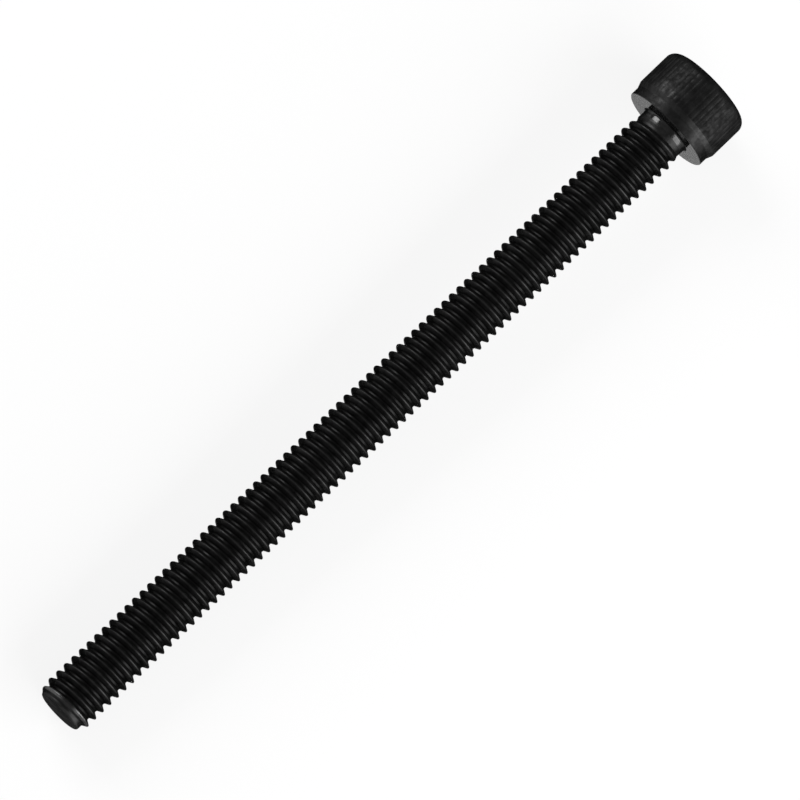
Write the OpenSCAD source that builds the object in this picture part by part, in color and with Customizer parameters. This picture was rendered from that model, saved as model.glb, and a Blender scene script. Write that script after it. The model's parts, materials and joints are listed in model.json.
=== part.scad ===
// Hex socket cap screw, threaded over its whole shank, in black oxide steel.
// Millimetres. It lies on its side on the plane z = 0, as it comes to rest on a bench:
// on two teeth of its head and on the first full crest at its tip, head towards +X.
// The origin is under the middle of the screw's length.

/* [Shank] */
// Length from the bearing face to the tip
shank_l = 80.5; // [20:0.5:90]
// Plain neck between the bearing face and the end of the thread's groove
neck_l = 0.6; // [0.6:0.1:5]
// Diameter of the plain neck
neck_d = 5.25; // [5:0.05:5.5]
// Fillet between the neck and the bearing face
fillet_r = 0.4; // [0.3:0.05:0.55]
// Length of the rounded corner at the tip
point_h = 0.22; // [0.1:0.02:0.5]
// How much the rounded corner takes off the tip's radius
point_w = 0.3; // [0.1:0.05:0.8]

/* [Thread] */
// Diameter over the crests
thread_d = 5.8; // [5.6:0.05:6.2]
// Diameter at the roots
root_d = 4.77; // [4.5:0.01:4.95]
// Distance from one turn to the next
pitch = 1.0; // [0.9:0.05:1.5]
// Angle round the screw at which the thread starts at the tip
start_angle = 11.25; // [11.25:22.5:348.75]

/* [Head] */
// Diameter over the knurl
head_d = 9.8; // [9.6:0.05:10.4]
// Height from the bearing face to the top
head_h = 5.9; // [5:0.05:8]
// Rounding of the top edge
top_round = 0.95; // [0.3:0.05:1.2]
// Diameter of the smooth collar next to the bearing face
collar_d = 9.3; // [8.8:0.05:9.5]
// Height of the smooth collar
collar_h = 0.9; // [0.4:0.05:2]
// Height of the slope from the collar out to the knurl
lead_h = 0.65; // [0.2:0.05:0.8]
// Chamfer on the collar's edge at the bearing face
edge_chamfer = 0.08; // [0.04:0.02:0.2]

/* [Knurl] */
// Number of straight teeth round the head
teeth = 56; // [36:4:72]
// Depth of the grooves between the teeth
groove_depth = 0.08; // [0.05:0.01:0.2]
// Share of each tooth's step that stays at the full diameter
tooth_land = 0.35; // [0.2:0.05:0.6]

/* [Socket] */
// Hexagon socket across its flats
key_size = 5.05; // [4:0.05:6]
// Depth of the hexagon
socket_depth = 3.1; // [1.5:0.1:4]
// Depth of the cone below the hexagon
cone_depth = 0.6; // [0.2:0.1:0.9]
// Width of the countersink past the hexagon's corners
mouth_w = 0.1; // [0.05:0.05:0.4]
// Angle of the countersink, from side to side
mouth_angle = 120; // [90:10:150]

/* [Hidden] */
$fn = 72;

// How far a cutter or a joined end reaches past the surface that it crosses
past = 0.5;
// How far the end of the thread lies under the surface of the neck, and how far it runs on
seat_gap = 0.02;
seat_l = 0.15;
// How far the teeth stand past the head before the blank trims them, as a share of their depth
tooth_over = 0.2;

// Thread profile: one eighth of the pitch is flat at the crest and one quarter at the root
crest_flat = pitch / 8;
root_flat = pitch / 4;
rise = (pitch - root_flat) / 2;
// Flat steps in one turn of the thread
turn_steps = 16;
// Turns in which the thread grows at the tip, and its size where it starts
grow_turns = 0.35;
grow_start = 0.15;
// Turns in which the crest and the groove run out at the neck
crest_out_turns = 1.4;
groove_out_turns = 1.2;
// Turns before the end of the groove at which the crest is gone
crest_gone_turns = 0.6;
// Smallest plain step between the tip's corner and the thread
point_gap = 0.08;

head_r = head_d / 2;
collar_r = collar_d / 2;
neck_r = neck_d / 2;
crest_r = thread_d / 2;
root_r = root_d / 2;
seat_r = neck_r - seat_gap;
mouth_r = key_size / 2 / cos(30) + mouth_w;
mouth_h = (mouth_r - key_size / 2) / tan(mouth_angle / 2);
knurl_z = collar_h + lead_h;
arc_steps = 6;

first_crest_z = point_h + point_gap + rise * grow_start;
neck_z = shank_l - neck_l;
steps = floor((neck_z + rise - first_crest_z) * turn_steps / pitch);

// A groove of the knurl faces down as the screw lies, and so does a flat step of the thread
tooth_step = 360 / teeth;
tooth_flank = tooth_step * (1 - tooth_land) / 2;
down_step = turn_steps * (1 - start_angle / 360) - 0.5;
touch_step = down_step < grow_turns * turn_steps ? down_step + turn_steps : down_step;
touch_z = first_crest_z + pitch * touch_step / turn_steps - crest_flat / 2;
touch_r = crest_r * cos(180 / turn_steps);
foot_r = head_r * cos(tooth_flank);
rest_tilt = atan((foot_r - touch_r) / (shank_l + knurl_z - touch_z));
rest_lift = touch_r * cos(rest_tilt) - touch_z * sin(rest_tilt);
half_l = (shank_l + head_h) / 2 * cos(rest_tilt);

function limit(value) = min(1, max(0, value));
function mix(from, to, share) = from + (to - from) * share;

// Size of the thread's profile at a step of the helix, from the tip
function grown(i) = limit(grow_start + i / turn_steps / grow_turns);
function root_at(i) = mix(seat_r, root_r, limit((steps - i) / turn_steps / groove_out_turns));
function crest_left(i) = limit(((steps - i) / turn_steps - crest_gone_turns) / crest_out_turns);
function crest_at(i) = mix(root_r, mix(seat_r, crest_r, crest_left(i)), limit(i / turn_steps / grow_turns));

// A point at a radius, a height and a step round the axis
function at(r, z, i) = [r * cos(360 * i / turn_steps), r * sin(360 * i / turn_steps), z];
function centre_z(i) = first_crest_z + pitch * i / turn_steps;
// The four corners of the profile at one step: root, crest, crest, root
function profile_at(i) = [
    at(root_at(i), centre_z(i) - rise * grown(i), i),
    at(crest_at(i), centre_z(i) - crest_flat / 2 * grown(i), i),
    at(crest_at(i), centre_z(i) + crest_flat / 2 * grown(i), i),
    at(root_at(i + turn_steps), centre_z(i) + rise, i),
];
function ring(r, z) = [for (i = [0 : turn_steps - 1]) at(r, z, i)];

// Numbers of the points: profile corner j at step i, then the rings of the tip and the neck
function corner(i, j) = 4 * i + j;
function on_ring(k, i) = 4 * (steps + 1) + k * turn_steps + i % turn_steps;

thread_points = [
    for (i = [0 : steps]) each profile_at(i),
    each ring(root_r - point_w, 0),
    each ring(root_r - point_w * (1 - sqrt(0.5)), point_h * (1 - sqrt(0.5))),
    each ring(root_r, point_h),
    each ring(seat_r, neck_z + 2 * rise + seat_l),
];

thread_faces = [
    // Lower flank, crest and upper flank along the helix
    for (i = [0 : steps - 1], j = [0 : 2])
        [corner(i, j), corner(i, j + 1), corner(i + 1, j + 1), corner(i + 1, j)],
    // Root between one turn and the next
    for (i = [0 : steps - turn_steps - 1])
        [corner(i, 3), corner(i + turn_steps, 0), corner(i + turn_steps + 1, 0), corner(i + 1, 3)],
    // End of the tip and its rounded corner
    [for (i = [0 : turn_steps - 1]) on_ring(0, i)],
    for (i = [0 : turn_steps - 1], k = [0 : 1])
        [on_ring(k, i), on_ring(k + 1, i), on_ring(k + 1, i + 1), on_ring(k, i + 1)],
    // Plain point up to the first turn
    for (i = [0 : turn_steps - 2])
        [on_ring(2, i), corner(i, 0), corner(i + 1, 0), on_ring(2, i + 1)],
    each fan([
        corner(turn_steps - 1, 0), corner(turn_steps, 0),
        corner(0, 3), corner(0, 2), corner(0, 1), corner(0, 0),
        on_ring(2, 0), on_ring(2, turn_steps - 1),
    ]),
    // Plain end in the neck, above the last turn
    for (i = [steps - turn_steps + 1 : steps - 1])
        [corner(i, 3), on_ring(3, i), on_ring(3, i + 1), corner(i + 1, 3)],
    each fan([
        corner(steps - turn_steps + 1, 3), corner(steps - turn_steps, 3),
        corner(steps, 0), corner(steps, 1), corner(steps, 2), corner(steps, 3),
        on_ring(3, steps), on_ring(3, steps + 1),
    ]),
    [for (i = [turn_steps - 1 : -1 : 0]) on_ring(3, i)],
];
// Triangles that share the first point of a list
function fan(p) = [for (i = [1 : len(p) - 2]) [p[0], p[i], p[i + 1]]];

// Right-hand thread as one helical body, from the tip at z = 0 into the neck
module thread() {
    rotate([0, 0, start_angle])
        polyhedron(points = thread_points, faces = thread_faces);
}

// Plain neck with the fillet that meets the bearing face
module neck() {
    rotate_extrude()
        polygon([
            [0, neck_z],
            [neck_r, neck_z],
            for (k = [0 : arc_steps])
                let (a = 90 * k / arc_steps)
                    [neck_r + fillet_r * (1 - cos(a)), shank_l - fillet_r * (1 - sin(a))],
            [neck_r + fillet_r, shank_l + past],
            [0, shank_l + past],
        ]);
}

// Outline of the head turned about the axis: collar, slope, knurled wall and rounded top
module head_blank() {
    rotate_extrude()
        polygon([
            [0, 0],
            [collar_r - edge_chamfer, 0],
            [collar_r, edge_chamfer],
            [collar_r, collar_h],
            [head_r, knurl_z],
            for (k = [0 : arc_steps])
                let (a = 90 * k / arc_steps)
                    [head_r - top_round * (1 - cos(a)), head_h - top_round * (1 - sin(a))],
            [0, head_h],
        ]);
}

// Bar with straight teeth all round, longer than the head and a little thicker
module knurl_bar() {
    out_r = head_r + groove_depth * tooth_over;
    out_a = tooth_step / 2 - tooth_flank * (1 + tooth_over);
    in_r = head_r - groove_depth;
    translate([0, 0, -past])
        linear_extrude(head_h + 2 * past)
            polygon([
                for (t = [0 : teeth - 1])
                    let (groove_a = t * tooth_step, tooth_a = groove_a + tooth_step / 2)
                        each [
                            [in_r * cos(groove_a), in_r * sin(groove_a)],
                            [out_r * cos(tooth_a - out_a), out_r * sin(tooth_a - out_a)],
                            [out_r * cos(tooth_a + out_a), out_r * sin(tooth_a + out_a)],
                        ]
            ]);
}

// Hexagon socket with a coned bottom and a countersunk mouth
module socket() {
    translate([0, 0, head_h - socket_depth])
        cylinder(h = socket_depth + past, r = key_size / 2 / cos(30), $fn = 6);
    translate([0, 0, head_h - socket_depth - cone_depth])
        cylinder(h = cone_depth, r1 = 0, r2 = key_size / 2);
    translate([0, 0, head_h - mouth_h])
        cylinder(h = mouth_h + past, r1 = key_size / 2, r2 = mouth_r + past * tan(mouth_angle / 2));
}

module head() {
    translate([0, 0, shank_l])
        difference() {
            intersection() {
                knurl_bar();
                head_blank();
            }
            socket();
        }
}

module screw() {
    color([0.11, 0.11, 0.12])
        translate([-half_l, 0, rest_lift])
            rotate([0, 90 - rest_tilt, 0]) {
                thread();
                neck();
                head();
            }
}

screw();
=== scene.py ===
import json
import math

import bmesh
import bpy
from mathutils import Matrix, Vector


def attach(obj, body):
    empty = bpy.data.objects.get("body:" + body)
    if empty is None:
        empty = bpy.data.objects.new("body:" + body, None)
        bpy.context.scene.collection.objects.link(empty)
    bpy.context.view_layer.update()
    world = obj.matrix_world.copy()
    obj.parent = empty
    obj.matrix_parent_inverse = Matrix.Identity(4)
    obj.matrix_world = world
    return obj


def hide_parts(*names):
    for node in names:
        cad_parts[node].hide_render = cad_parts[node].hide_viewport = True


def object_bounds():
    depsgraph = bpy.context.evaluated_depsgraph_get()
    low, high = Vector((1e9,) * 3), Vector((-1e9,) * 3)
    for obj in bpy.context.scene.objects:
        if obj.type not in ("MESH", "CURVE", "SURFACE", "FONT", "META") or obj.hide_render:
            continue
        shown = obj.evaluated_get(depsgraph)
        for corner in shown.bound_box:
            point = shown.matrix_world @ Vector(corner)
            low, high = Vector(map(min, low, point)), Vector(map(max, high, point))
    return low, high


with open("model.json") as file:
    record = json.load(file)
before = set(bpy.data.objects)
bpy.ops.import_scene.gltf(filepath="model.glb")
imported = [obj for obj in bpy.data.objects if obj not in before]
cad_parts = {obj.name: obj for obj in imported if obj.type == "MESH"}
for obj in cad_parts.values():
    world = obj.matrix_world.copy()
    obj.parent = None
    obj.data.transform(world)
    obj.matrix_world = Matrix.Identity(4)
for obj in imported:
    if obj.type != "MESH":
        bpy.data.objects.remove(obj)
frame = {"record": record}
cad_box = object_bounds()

# Hex socket cap screw in black oxide steel, lying on a pale bench.
# The screw is modelled in millimetres along its own axis, from its tip at z = 0 up to its
# head, and then laid down where the frame has it. Its fillet is narrower and its knurl
# shallower than in the solid, as the photo shows them.

MM = 0.001

# Shank, with its plain neck, the fillet under the head and the rounded point
SHANK_L = 80.5
NECK_L = 0.6
NECK_R = 2.625
FILLET_R = 0.25
FILLET_STEPS = 6
POINT_H = 0.22
POINT_W = 0.3
POINT_STEPS = 5

# Thread: the foot is how far from the middle of the crest its flanks meet the root
CREST_R = 2.9
ROOT_R = 2.385
PITCH = 1.0
START_ANGLE = math.radians(11.25)
TURN_STEPS = 48
CREST_HALF = PITCH / 16
FOOT = PITCH * 3 / 8
CREST_ROUND = 0.058
ROOT_ROUND = 0.09
ROUND_STEPS = 3

# Start of the thread: the gap above the point in which it fades in, how much higher the middle
# of the first crest starts, as a share of the foot, and the turns in which the crest grows
POINT_GAP = 0.08
GROW_START = 0.15
GROW_TURNS = 0.35

# End of the thread: the turns in which the crest and the groove run out into the neck, and the
# last turns, in which the crest is already gone
CREST_OUT_TURNS = 1.4
GROOVE_OUT_TURNS = 1.2
CREST_GONE_TURNS = 0.6

# Head: the lead is the slope from the collar up to the knurl, with its rings as shares of it
HEAD_R = 4.9
HEAD_H = 5.9
TOP_ROUND = 0.95
TOP_STEPS = 10
COLLAR_R = 4.65
COLLAR_H = 0.9
LEAD_H = 0.65
LEAD_SHARES = (0.2, 0.4, 0.6, 0.7, 0.8, 0.9, 1)
EDGE_CHAMFER = 0.08

# Knurl: the land is the share of a tooth that has the head's full radius
TEETH = 56
TOOTH_STEPS = 12
GROOVE_DEPTH = 0.03
TOOTH_LAND = 0.35

# Socket, with its coned bottom and countersunk mouth
KEY_SIZE = 5.05
SOCKET_DEPTH = 3.1
CONE_DEPTH = 0.6
MOUTH_W = 0.1
MOUTH_ANGLE = math.radians(120)

# Places along the axis
NECK_Z = SHANK_L - NECK_L
LEAD_Z = SHANK_L + COLLAR_H
KNURL_Z = LEAD_Z + LEAD_H
HEAD_Z = SHANK_L + HEAD_H
FIRST_CREST_Z = POINT_H + POINT_GAP + FOOT * GROW_START
THREAD_TURNS = (NECK_Z + FOOT - FIRST_CREST_Z) / PITCH

# Mesh: points nearer than the merge distance become one, the narrow flat ring next to the
# fillet lets the bearing face shade flat, and edges that turn by more than an angle are sharp
HEAD_STEPS = TEETH * TOOTH_STEPS
MERGE = 0.0005
CUT_SNAP = MERGE / 10
FLAT_W = 0.04
SHARP_ANGLE = math.radians(25)

# How much light the oxide throws back and how rough it is, on each stretch of the screw
THREAD_SKIN = (0.025, 0.38)
# The roots are darker than the flanks: painted shade in the thread's grooves
ROOT_SHADE_SKIN = (0.011, 0.36)
NECK_SKIN = (0.045, 0.15)
FACE_SKIN = (0.04, 0.2)
COLLAR_SKIN = (0.018, 0.48)
LEAD_SKIN = (0.025, 0.5)
HEAD_SKIN = (0.0165, 0.6)
END_SKIN = (0.041, 0.65)
# The first crest is paler on the screw's two sides: a painted highlight
FIRST_CREST_HIGHLIGHT_SKIN = (0.1, 0.3)

# Where one skin goes over into the next, from and to: along the axis, out from it or aside of it
# The first two place the painted shade in the thread's roots
ROOT_SHADE_OUT = (ROOT_R + 0.04, ROOT_R + 0.16)
ROOT_SHADE_ALONG = (PITCH / 2, PITCH)
FACE_OUT = (NECK_R + FILLET_R / 2, NECK_R + FILLET_R)
COLLAR_ALONG = (SHANK_L + 0.05, SHANK_L + 0.1)
WALL_ALONG = (LEAD_Z, KNURL_Z)
END_ALONG = (0.12, 0.3)
# The last two place the painted highlight on the first crest
FIRST_CREST_HIGHLIGHT_OUT = (ROOT_R + 0.2, ROOT_R + 0.35)
FIRST_CREST_HIGHLIGHT_ASIDE = (0.4, 1.2)

# Stretches along or across the screw: start, end and the width of their soft ends
NECK_BAND = (NECK_Z + 0.02, SHANK_L - 0.05, 0.08)
FACE_BAND = (SHANK_L - 0.03, SHANK_L + 0.04, 0.02)
LEAD_BAND = (LEAD_Z + 0.1, KNURL_Z - 0.1, 0.1)
# The painted highlight on the first crest lies along this stretch
FIRST_CREST_HIGHLIGHT_BAND = (0.5, 0.95, 0.1)
TEETH_MARK_ALONG = (LEAD_Z + LEAD_H / 2, KNURL_Z + 0.8, 0.5)
TEETH_MARK_ACROSS = (1.9, 3.3, 0.6)
# The painted highlight on the lead slope lies here, on the side away from the teeth patches
SLOPE_HIGHLIGHT_ALONG = (LEAD_Z + 0.15, KNURL_Z - 0.1, 0.08)
SLOPE_HIGHLIGHT_ACROSS = (-3.7, -1.3, 0.6)

# Tone of the pale patches on the knurl's teeth and of the painted highlight on the lead slope, and tint of
# the light that grazes the surface
PATCH_AND_HIGHLIGHT_TONE = 0.04
RIM_TINT = 0.2

# Share of the skin that reflects as metal; the rest is dull black
METAL_SHARE = 0.85

# Share of the bearing face that an oil film covers, and how rough the film is
FACE_OIL = 0.5
OIL_ROUGH = 0.15

# Relief of the surface: its height in millimetres, and the shares of its three kinds
RELIEF = 0.008
GRAIN_SHARE = 0.3
WAVE_SHARE = 2
RING_SHARE = 0.6


def limit(value):
    """Keeps a value between 0 and 1."""
    return min(1.0, max(0.0, value))


def mix(start, end, share):
    """Value at a share of the way from start to end."""
    return start + (end - start) * share


def set_round(vert, radius, height):
    """Moves a vertex to a radius and a height on its own side of the axis."""
    out = Vector((vert.co.x, vert.co.y, 0)).normalized() * radius
    vert.co = (out.x, out.y, height)


def next_ring(bm, ring, radius, height):
    """Extrudes a closed ring of edges to a new radius and height and returns the new ring.

    The radius and the height are numbers, or functions of the angle round the axis.
    """
    made = bmesh.ops.extrude_edge_only(bm, edges=ring)["geom"]
    verts = {v for v in made if isinstance(v, bmesh.types.BMVert)}
    for v in verts:
        angle = math.atan2(v.co.y, v.co.x)
        r = radius(angle) if callable(radius) else radius
        z = height(angle) if callable(height) else height
        set_round(v, r, z)
    return [e for e in made if isinstance(e, bmesh.types.BMEdge) and set(e.verts) <= verts]


def close_ring(bm, ring, height):
    """Fills a ring with a fan of faces round one vertex on the axis."""
    made = bmesh.ops.extrude_edge_only(bm, edges=ring)["geom"]
    verts = [v for v in made if isinstance(v, bmesh.types.BMVert)]
    bmesh.ops.pointmerge(bm, verts=verts, merge_co=(0, 0, height))


def quarter_arc(steps):
    """A quarter arc that starts along the axis and ends square to it.

    At each step, gives how far it has gone aside and how far it still has to go along the
    axis, both as shares of its radius.
    """
    for k in range(1, steps + 1):
        a = math.pi / 2 * k / steps
        yield 1 - math.cos(a), 1 - math.sin(a)


def thread_profile(bm):
    """One pitch of the thread's outline, crest in the middle, with rounded crest and roots."""
    outline = (
        (ROOT_R, -PITCH / 2), (ROOT_R, -FOOT), (CREST_R, -CREST_HALF),
        (CREST_R, CREST_HALF), (ROOT_R, FOOT), (ROOT_R, PITCH / 2),
    )
    verts = [bm.verts.new((r, 0, z)) for r, z in outline]
    for a, b in zip(verts, verts[1:]):
        bm.edges.new((a, b))
    for corners, size in ((verts[2:4], CREST_ROUND), ((verts[1], verts[4]), ROOT_ROUND)):
        bmesh.ops.bevel(
            bm, geom=list(corners), offset=size, offset_type="OFFSET", affect="VERTICES",
            segments=ROUND_STEPS, profile=0.5, material=-1,
        )


def helix(bm):
    """One turn of the profile wound round the axis, then copied turn by turn along it."""
    thread_profile(bm)
    start = Matrix.Rotation(START_ANGLE, 4, "Z")
    start.translation.z = FIRST_CREST_Z - PITCH
    bm.transform(start)
    bmesh.ops.spin(
        bm, geom=bm.verts[:] + bm.edges[:], cent=(0, 0, 0), axis=(0, 0, 1),
        dvec=(0, 0, PITCH / TURN_STEPS), angle=math.tau, steps=TURN_STEPS,
    )
    turn = bm.verts[:] + bm.edges[:] + bm.faces[:]
    # The first turn starts below the tip and the last two reach past the neck: both get cut off
    for k in range(1, math.ceil(THREAD_TURNS) + 3):
        copy = bmesh.ops.duplicate(bm, geom=turn)["geom"]
        verts = [v for v in copy if isinstance(v, bmesh.types.BMVert)]
        bmesh.ops.translate(bm, verts=verts, vec=(0, 0, PITCH * k))
    bmesh.ops.remove_doubles(bm, verts=bm.verts[:], dist=MERGE)


def grow_and_run_out(bm):
    """Lets the crest grow in at the tip, and the crest and the groove run out at the neck."""
    for v in bm.verts:
        around = (math.atan2(v.co.y, v.co.x) - START_ANGLE) / math.tau
        turns = around + round((v.co.z - FIRST_CREST_Z) / PITCH - around)
        above = v.co.z - FIRST_CREST_Z - turns * PITCH
        left = THREAD_TURNS - turns
        groove_left = left - 1 if above > 0 else left
        root = mix(NECK_R, ROOT_R, limit(groove_left / GROOVE_OUT_TURNS))
        crest = mix(NECK_R, CREST_R, limit((left - CREST_GONE_TURNS) / CREST_OUT_TURNS))
        crest = mix(root, crest, limit(turns / GROW_TURNS))
        share = (v.co.xy.length - ROOT_R) / (CREST_R - ROOT_R)
        share *= limit((v.co.z - POINT_H) / POINT_GAP)
        set_round(v, mix(root, crest, share), v.co.z)


def cut_ring(bm, height, keep_above):
    """Cuts the shank square at a height and returns the ring of edges at the cut."""
    cut = bmesh.ops.bisect_plane(
        bm, geom=bm.verts[:] + bm.edges[:] + bm.faces[:], dist=CUT_SNAP,
        plane_co=(0, 0, height), plane_no=(0, 0, 1),
        clear_inner=keep_above, clear_outer=not keep_above,
    )["geom_cut"]
    return [e for e in cut if isinstance(e, bmesh.types.BMEdge)]


def shank(bm):
    """Threaded shank with its rounded tip and plain neck; returns the ring just outside the fillet."""
    helix(bm)
    grow_and_run_out(bm)
    tip = cut_ring(bm, POINT_H, True)
    neck = cut_ring(bm, NECK_Z, False)
    for aside, left in quarter_arc(POINT_STEPS):
        tip = next_ring(bm, tip, ROOT_R - POINT_W * aside, POINT_H * left)
    close_ring(bm, tip, 0)
    neck = next_ring(bm, neck, NECK_R, SHANK_L - FILLET_R)
    for aside, left in quarter_arc(FILLET_STEPS):
        neck = next_ring(bm, neck, NECK_R + FILLET_R * aside, SHANK_L - FILLET_R * left)
    return next_ring(bm, neck, NECK_R + FILLET_R + FLAT_W, SHANK_L)


def tooth_r(angle):
    """Radius of the knurl's teeth at an angle: a land, then soft flanks down to a groove."""
    step = math.tau / TEETH
    from_groove = abs(angle - round(angle / step) * step)
    flank = step * (1 - TOOTH_LAND) / 2
    share = limit(from_groove / flank)
    return HEAD_R - GROOVE_DEPTH * (1 + math.cos(math.pi * share)) / 2


def knurled(radius):
    """The radius of the head's outline, cut into by the knurl's grooves."""
    return lambda angle: min(radius, tooth_r(angle))


def hexagon(angle):
    """Radius of the socket's wall at an angle, with a corner at angle 0."""
    side = math.tau / 6
    from_flat = (angle % side) - side / 2
    return KEY_SIZE / 2 / math.cos(from_flat)


def head_rings():
    """Radius and height of each ring of the head, from the bearing face to the socket's cone."""
    yield COLLAR_R, SHANK_L + EDGE_CHAMFER
    yield COLLAR_R, LEAD_Z
    for share in LEAD_SHARES:
        yield knurled(mix(COLLAR_R, HEAD_R, share)), LEAD_Z + LEAD_H * share
    yield knurled(HEAD_R), HEAD_Z - TOP_ROUND
    for aside, left in quarter_arc(TOP_STEPS):
        yield knurled(HEAD_R - TOP_ROUND * aside), HEAD_Z - TOP_ROUND * left
    mouth_r = KEY_SIZE / 2 / math.cos(math.pi / 6) + MOUTH_W
    yield mouth_r, HEAD_Z
    yield hexagon, lambda angle: HEAD_Z - (mouth_r - hexagon(angle)) / math.tan(MOUTH_ANGLE / 2)
    yield hexagon, HEAD_Z - SOCKET_DEPTH
    yield KEY_SIZE / 2, HEAD_Z - SOCKET_DEPTH


def head(bm):
    """Knurled head with its hexagon socket; returns the ring round the bearing face."""
    made = bmesh.ops.create_circle(
        bm, segments=HEAD_STEPS, radius=COLLAR_R - EDGE_CHAMFER,
        matrix=Matrix.Translation((0, 0, SHANK_L)),
    )
    first = list({e for v in made["verts"] for e in v.link_edges})
    ring = first
    for radius, height in head_rings():
        ring = next_ring(bm, ring, radius, height)
    close_ring(bm, ring, HEAD_Z - SOCKET_DEPTH - CONE_DEPTH)
    return first


def axis_line():
    """The screw's direction and the middle of its tip, as the frame has them."""
    socket = next(m for m in frame["record"]["mounts"] if m["name"] == "hex_socket")
    along = Vector(socket["axis"]).normalized()
    return along, Vector(socket["pos_m"]) - along * HEAD_Z * MM


def lying_down():
    """Where the screw lies: from millimetres along its axis to metres in the frame."""
    along, tip = axis_line()
    across = Vector((0, 1, 0))
    down = across.cross(along)
    place = Matrix((down, across, along)).transposed().to_4x4()
    place.translation = tip
    return place @ Matrix.Scale(MM, 4)


def press_flat(bm):
    """Flattens what would dip into the bench, by a few hundredths of a millimetre at most."""
    bench_z = cad_box[0].z
    for v in bm.verts:
        v.co.z = max(v.co.z, bench_z)


def sharpen(bm):
    """Smooth shading, with the edges sharp where the surface turns a corner."""
    for f in bm.faces:
        f.smooth = True
    for e in bm.edges:
        e.smooth = e.calc_face_angle(0) < SHARP_ANGLE


def feed(tree, socket, value):
    """Sets a socket to a plain value, or links it to another socket."""
    if isinstance(value, bpy.types.NodeSocket):
        tree.links.new(value, socket)
    else:
        socket.default_value = value


def calc(tree, operation, first, second=0.0):
    """Sum, product or other result of two values."""
    node = tree.nodes.new("ShaderNodeMath")
    node.operation = operation
    feed(tree, node.inputs[0], first)
    feed(tree, node.inputs[1], second)
    return node.outputs[0]


def blend(tree, base, top, share):
    """Value that goes from a base to a top value with a mask."""
    node = tree.nodes.new("ShaderNodeMix")
    feed(tree, node.inputs["Factor"], share)
    feed(tree, node.inputs["A"], base)
    feed(tree, node.inputs["B"], top)
    return node.outputs["Result"]


def ramp(tree, value, low, high, at_low=0.0, at_high=1.0):
    """Soft step from one value to another while the input goes from low to high."""
    node = tree.nodes.new("ShaderNodeMapRange")
    node.interpolation_type = "SMOOTHSTEP"
    feed(tree, node.inputs["Value"], value)
    limits = (("From Min", low), ("From Max", high), ("To Min", at_low), ("To Max", at_high))
    for name, number in limits:
        node.inputs[name].default_value = number
    return node.outputs["Result"]


def stretch(tree, value, start, end, fade):
    """Mask of a stretch from start to end, with soft ends."""
    rising = ramp(tree, value, start - fade, start)
    return calc(tree, "MULTIPLY", rising, ramp(tree, value, end, end + fade, 1, 0))


def cloud(tree, place, scale, detail, roughness=0.5):
    """Uneven patches, about one for each 1/scale millimetres."""
    node = tree.nodes.new("ShaderNodeTexNoise")
    feed(tree, node.inputs["Vector"], place)
    node.inputs["Scale"].default_value = scale
    node.inputs["Detail"].default_value = detail
    node.inputs["Roughness"].default_value = roughness
    return node.outputs["Fac"]


def place_on_screw(tree):
    """Place in millimetres from the tip, with its distances along, across and from the axis."""
    along, tip = axis_line()
    coordinates = tree.nodes.new("ShaderNodeTexCoord")
    mapping = tree.nodes.new("ShaderNodeMapping")
    mapping.vector_type = "TEXTURE"
    mapping.inputs["Location"].default_value = tip
    mapping.inputs["Rotation"].default_value = (0, -math.atan2(along.z, along.x), 0)
    mapping.inputs["Scale"].default_value = (MM, MM, MM)
    tree.links.new(coordinates.outputs["Object"], mapping.inputs["Vector"])
    place = mapping.outputs["Vector"]
    split = tree.nodes.new("ShaderNodeSeparateXYZ")
    tree.links.new(place, split.inputs[0])
    sideways = calc(tree, "MULTIPLY", split.outputs["Y"], split.outputs["Y"])
    upward = calc(tree, "MULTIPLY", split.outputs["Z"], split.outputs["Z"])
    radius = calc(tree, "SQRT", calc(tree, "ADD", sideways, upward))
    return place, split.outputs["X"], split.outputs["Y"], radius


def turned_rings(tree, radius, scale, detail):
    """Height of the fine rings that a turning tool leaves round the axis, 1/scale apart."""
    node = tree.nodes.new("ShaderNodeTexNoise")
    node.noise_dimensions = "1D"
    feed(tree, node.inputs["W"], radius)
    node.inputs["Scale"].default_value = scale
    node.inputs["Detail"].default_value = detail
    return node.outputs["Fac"]


def pale_patches_and_slope_highlight(tree, place, along, across):
    """Mask at the knurl's start: pale patches on its teeth to one side, a painted highlight on the slope
    to the other.
    """
    teeth = calc(
        tree, "MULTIPLY",
        stretch(tree, along, *TEETH_MARK_ALONG), stretch(tree, across, *TEETH_MARK_ACROSS),
    )
    # Painted highlight on the lead slope
    slope = calc(
        tree, "MULTIPLY",
        stretch(tree, along, *SLOPE_HIGHLIGHT_ALONG), stretch(tree, across, *SLOPE_HIGHLIGHT_ACROSS),
    )
    streaks = ramp(tree, cloud(tree, place, scale=1.6, detail=4), 0.35, 0.65, at_low=0.2)
    return calc(tree, "MULTIPLY", calc(tree, "MAXIMUM", teeth, slope), streaks)


def bearing_face(tree, along, radius):
    """Mask of the flat ring under the head."""
    return calc(
        tree, "MULTIPLY", stretch(tree, along, *FACE_BAND), ramp(tree, radius, *FACE_OUT),
    )


def first_crest_highlight(tree, along, across, radius):
    """Mask of the painted highlight on the first crest at the tip, on the screw's two sides."""
    crest = calc(
        tree, "MULTIPLY",
        stretch(tree, along, *FIRST_CREST_HIGHLIGHT_BAND), ramp(tree, radius, *FIRST_CREST_HIGHLIGHT_OUT),
    )
    aside = ramp(tree, calc(tree, "ABSOLUTE", across), *FIRST_CREST_HIGHLIGHT_ASIDE)
    return calc(tree, "MULTIPLY", crest, aside)


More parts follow.
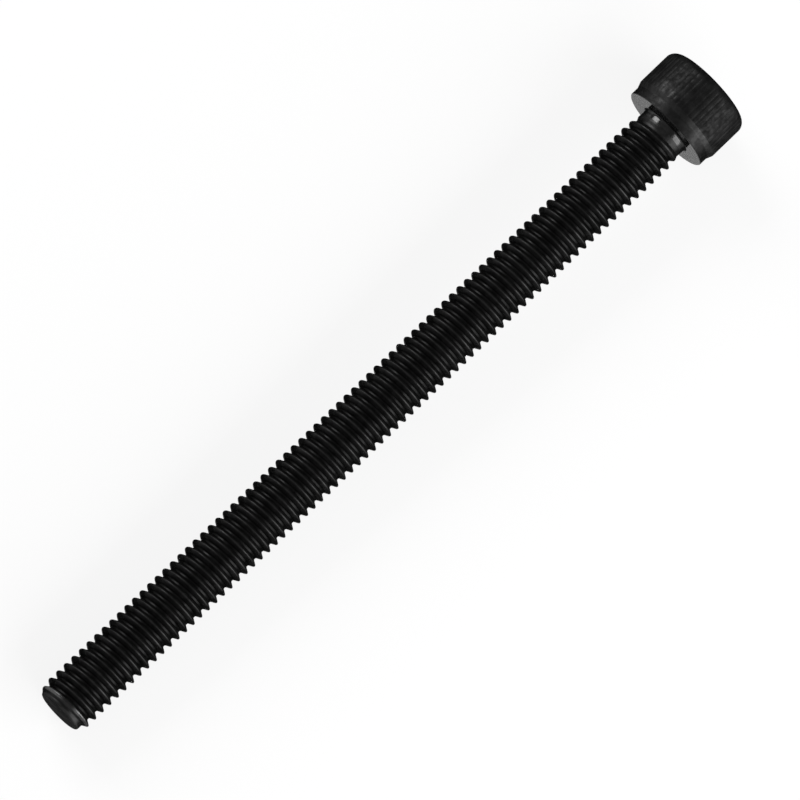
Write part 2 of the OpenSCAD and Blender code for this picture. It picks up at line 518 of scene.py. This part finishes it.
def skin_at(tree, face, along, across, radius):
    """Tone and roughness of the oxide, from the thread's to that of each other stretch."""
    # Painted shade: the thread's roots are darker
    roots = calc(
        tree, "MULTIPLY", ramp(tree, radius, *ROOT_SHADE_OUT, 1, 0), ramp(tree, along, *ROOT_SHADE_ALONG),
    )
    skins = (
        (roots, ROOT_SHADE_SKIN),
        (stretch(tree, along, *NECK_BAND), NECK_SKIN),
        (face, FACE_SKIN),
        (ramp(tree, along, *COLLAR_ALONG), COLLAR_SKIN),
        (ramp(tree, along, *WALL_ALONG), HEAD_SKIN),
        (stretch(tree, along, *LEAD_BAND), LEAD_SKIN),
        (ramp(tree, along, *END_ALONG, 1, 0), END_SKIN),
        # Painted highlight on the first crest
        (first_crest_highlight(tree, along, across, radius), FIRST_CREST_HIGHLIGHT_SKIN),
    )
    tone, rough = THREAD_SKIN
    for mask, skin in skins:
        tone = blend(tree, tone, skin[0], mask)
        rough = blend(tree, rough, skin[1], mask)
    return tone, rough


def relief(tree, place, face, radius):
    """Normal of the grained and slightly wavy surface, with turned rings on the bearing face."""
    grain = calc(tree, "MULTIPLY", cloud(tree, place, scale=12, detail=3, roughness=0.6), GRAIN_SHARE)
    waves = calc(tree, "MULTIPLY", cloud(tree, place, scale=1.3, detail=2), WAVE_SHARE)
    rings = turned_rings(tree, radius, scale=9, detail=2)
    rings = calc(tree, "MULTIPLY", rings, calc(tree, "MULTIPLY", face, RING_SHARE))
    bump = tree.nodes.new("ShaderNodeBump")
    bump.inputs["Distance"].default_value = RELIEF * MM
    height = calc(tree, "ADD", calc(tree, "ADD", grain, waves), rings)
    tree.links.new(height, bump.inputs["Height"])
    return bump.outputs["Normal"]


def black_oxide():
    """Oiled black oxide: smooth on the neck and the bearing face, matt on the head and the end."""
    mat = bpy.data.materials.new("black_oxide_steel")
    mat.use_nodes = True
    tree = mat.node_tree
    steel = tree.nodes["Principled BSDF"]
    steel.inputs["Metallic"].default_value = METAL_SHARE
    steel.inputs["Specular Tint"].default_value = (RIM_TINT, RIM_TINT, RIM_TINT, 1)
    steel.inputs["Specular IOR Level"].default_value = 0
    steel.inputs["Coat Roughness"].default_value = OIL_ROUGH

    place, along, across, radius = place_on_screw(tree)
    face = bearing_face(tree, along, radius)
    tone, rough = skin_at(tree, face, along, across, radius)
    patches = ramp(
        tree, cloud(tree, place, scale=0.9, detail=4, roughness=0.6), 0.3, 0.7,
        at_low=0.72, at_high=1.3,
    )
    tone = calc(tree, "MULTIPLY", tone, patches)
    # Pale patches on the teeth, and a painted highlight on the lead slope
    tone = blend(tree, tone, PATCH_AND_HIGHLIGHT_TONE, pale_patches_and_slope_highlight(tree, place, along, across))
    smears = ramp(tree, cloud(tree, place, scale=1.9, detail=3), 0.35, 0.65, at_low=0.8, at_high=1.2)
    tree.links.new(tone, steel.inputs["Base Color"])
    tree.links.new(calc(tree, "MULTIPLY", rough, smears), steel.inputs["Roughness"])
    tree.links.new(calc(tree, "MULTIPLY", face, FACE_OIL), steel.inputs["Coat Weight"])
    tree.links.new(relief(tree, place, face, radius), steel.inputs["Normal"])
    return mat


def screw():
    """The whole screw as one closed mesh, in place of the solid."""
    bm = bmesh.new()
    inner = shank(bm)
    outer = head(bm)
    # The bearing face spans from the one ring to the other
    bmesh.ops.bridge_loops(bm, edges=inner + outer)
    # Slivers thinner than the merge distance are dissolved. Slivers too thin for the
    # exported mesh are dissolved
    bmesh.ops.dissolve_degenerate(bm, dist=MERGE, edges=bm.edges[:])
    bm.transform(lying_down())
    press_flat(bm)
    bmesh.ops.recalc_face_normals(bm, faces=bm.faces[:])
    sharpen(bm)
    mesh = bpy.data.meshes.new("cap_screw")
    bm.to_mesh(mesh)
    bm.free()
    piece = bpy.data.objects.new("cap_screw", mesh)
    bpy.context.scene.collection.objects.link(piece)
    mesh.materials.append(black_oxide())
    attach(piece, "root")
    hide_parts("screw")


# Bench: half its side in metres, its paint, and the share of it that shows as plain white
BENCH_HALF = 3
BENCH_TONE = 0.93
BENCH_GLOW = 0.82


def bench_paint():
    """White to the camera and in reflections, with enough plain paint left to hold the shadow."""
    mat = bpy.data.materials.new("bench")
    mat.use_nodes = True
    tree = mat.node_tree
    tree.nodes.remove(tree.nodes["Principled BSDF"])
    paths = tree.nodes.new("ShaderNodeLightPath").outputs
    seen = calc(tree, "MAXIMUM", paths["Is Camera Ray"], paths["Is Glossy Ray"])
    seen = calc(tree, "MAXIMUM", seen, paths["Is Transmission Ray"])
    paint = tree.nodes.new("ShaderNodeBsdfDiffuse")
    paint.inputs["Color"].default_value = (BENCH_TONE, BENCH_TONE, BENCH_TONE, 1)
    glow = tree.nodes.new("ShaderNodeEmission")
    glow.inputs["Color"].default_value = (1, 1, 1, 1)
    glow.inputs["Strength"].default_value = 1
    both = tree.nodes.new("ShaderNodeMixShader")
    feed(tree, both.inputs[0], calc(tree, "MULTIPLY", seen, BENCH_GLOW))
    tree.links.new(paint.outputs[0], both.inputs[1])
    tree.links.new(glow.outputs[0], both.inputs[2])
    tree.links.new(both.outputs[0], tree.nodes["Material Output"].inputs["Surface"])
    return mat


def bench():
    bm = bmesh.new()
    bmesh.ops.create_grid(bm, x_segments=1, y_segments=1, size=BENCH_HALF)
    mesh = bpy.data.meshes.new("bench")
    bm.to_mesh(mesh)
    bm.free()
    mesh.materials.append(bench_paint())
    floor = bpy.data.objects.new("bench", mesh)
    bpy.context.scene.collection.objects.link(floor)


# Light of the room on every side
ROOM_TONE = 0.25


def lamp(name, azimuth, rise, distance, length, width, radiance):
    """Soft box beside the screw, level along it and turned to face it."""
    data = bpy.data.lights.new(name, "AREA")
    data.shape = "RECTANGLE"
    data.size = length
    data.size_y = width
    data.energy = radiance * math.pi * length * width
    a, e = math.radians(azimuth), math.radians(rise)
    back = Vector((math.cos(a) * math.cos(e), math.sin(a) * math.cos(e), math.sin(e)))
    up = back.cross(Vector((1, 0, 0))).normalized()
    obj = bpy.data.objects.new(name, data)
    obj.location = back * distance
    obj.rotation_mode = "QUATERNION"
    obj.rotation_quaternion = Matrix((up.cross(back), up, back)).transposed().to_quaternion()
    obj.visible_camera = False
    bpy.context.scene.collection.objects.link(obj)


def lighting():
    world = bpy.data.worlds.new("room")
    bpy.context.scene.world = world
    world.use_nodes = True
    room = world.node_tree.nodes["Background"]
    room.inputs["Color"].default_value = (ROOM_TONE, ROOM_TONE, ROOM_TONE, 1)
    room.inputs["Strength"].default_value = 1
    lamp("lamp_left", azimuth=78, rise=30, distance=0.4, length=0.24, width=0.2, radiance=8)
    lamp("lamp_right", azimuth=-84, rise=23, distance=0.4, length=0.6, width=0.34, radiance=4.7)


# Camera: a long lens two metres away, above the tip's side, with the screw across the corners
AIM = Vector((0.000905, -0.001063, 0.003963))
DISTANCE = 2.0
LENS = 955.5
SENSOR = 36.0
NEAR = 0.05
FAR = 10
SLOPE = math.radians(43.844)
TOWARDS_TIP = math.radians(10.486)


def camera():
    data = bpy.data.cameras.new("camera")
    data.lens = LENS
    data.sensor_width = SENSOR
    data.clip_start = NEAR
    data.clip_end = FAR
    along, _ = axis_line()
    lean = TOWARDS_TIP + math.atan2(along.z, along.x)
    back = Vector((-math.sin(lean), 0, math.cos(lean)))
    flat = (along - back * along.dot(back)).normalized()
    right = flat * math.cos(SLOPE) - Vector((0, 1, 0)) * math.sin(SLOPE)
    cam = bpy.data.objects.new("camera", data)
    cam.location = AIM + back * DISTANCE
    cam.rotation_mode = "QUATERNION"
    cam.rotation_quaternion = Matrix((right, back.cross(right), back)).transposed().to_quaternion()
    bpy.context.scene.collection.objects.link(cam)
    bpy.context.scene.camera = cam


bpy.context.scene.view_settings.view_transform = "Standard"
camera()
screw()
bench()
lighting()
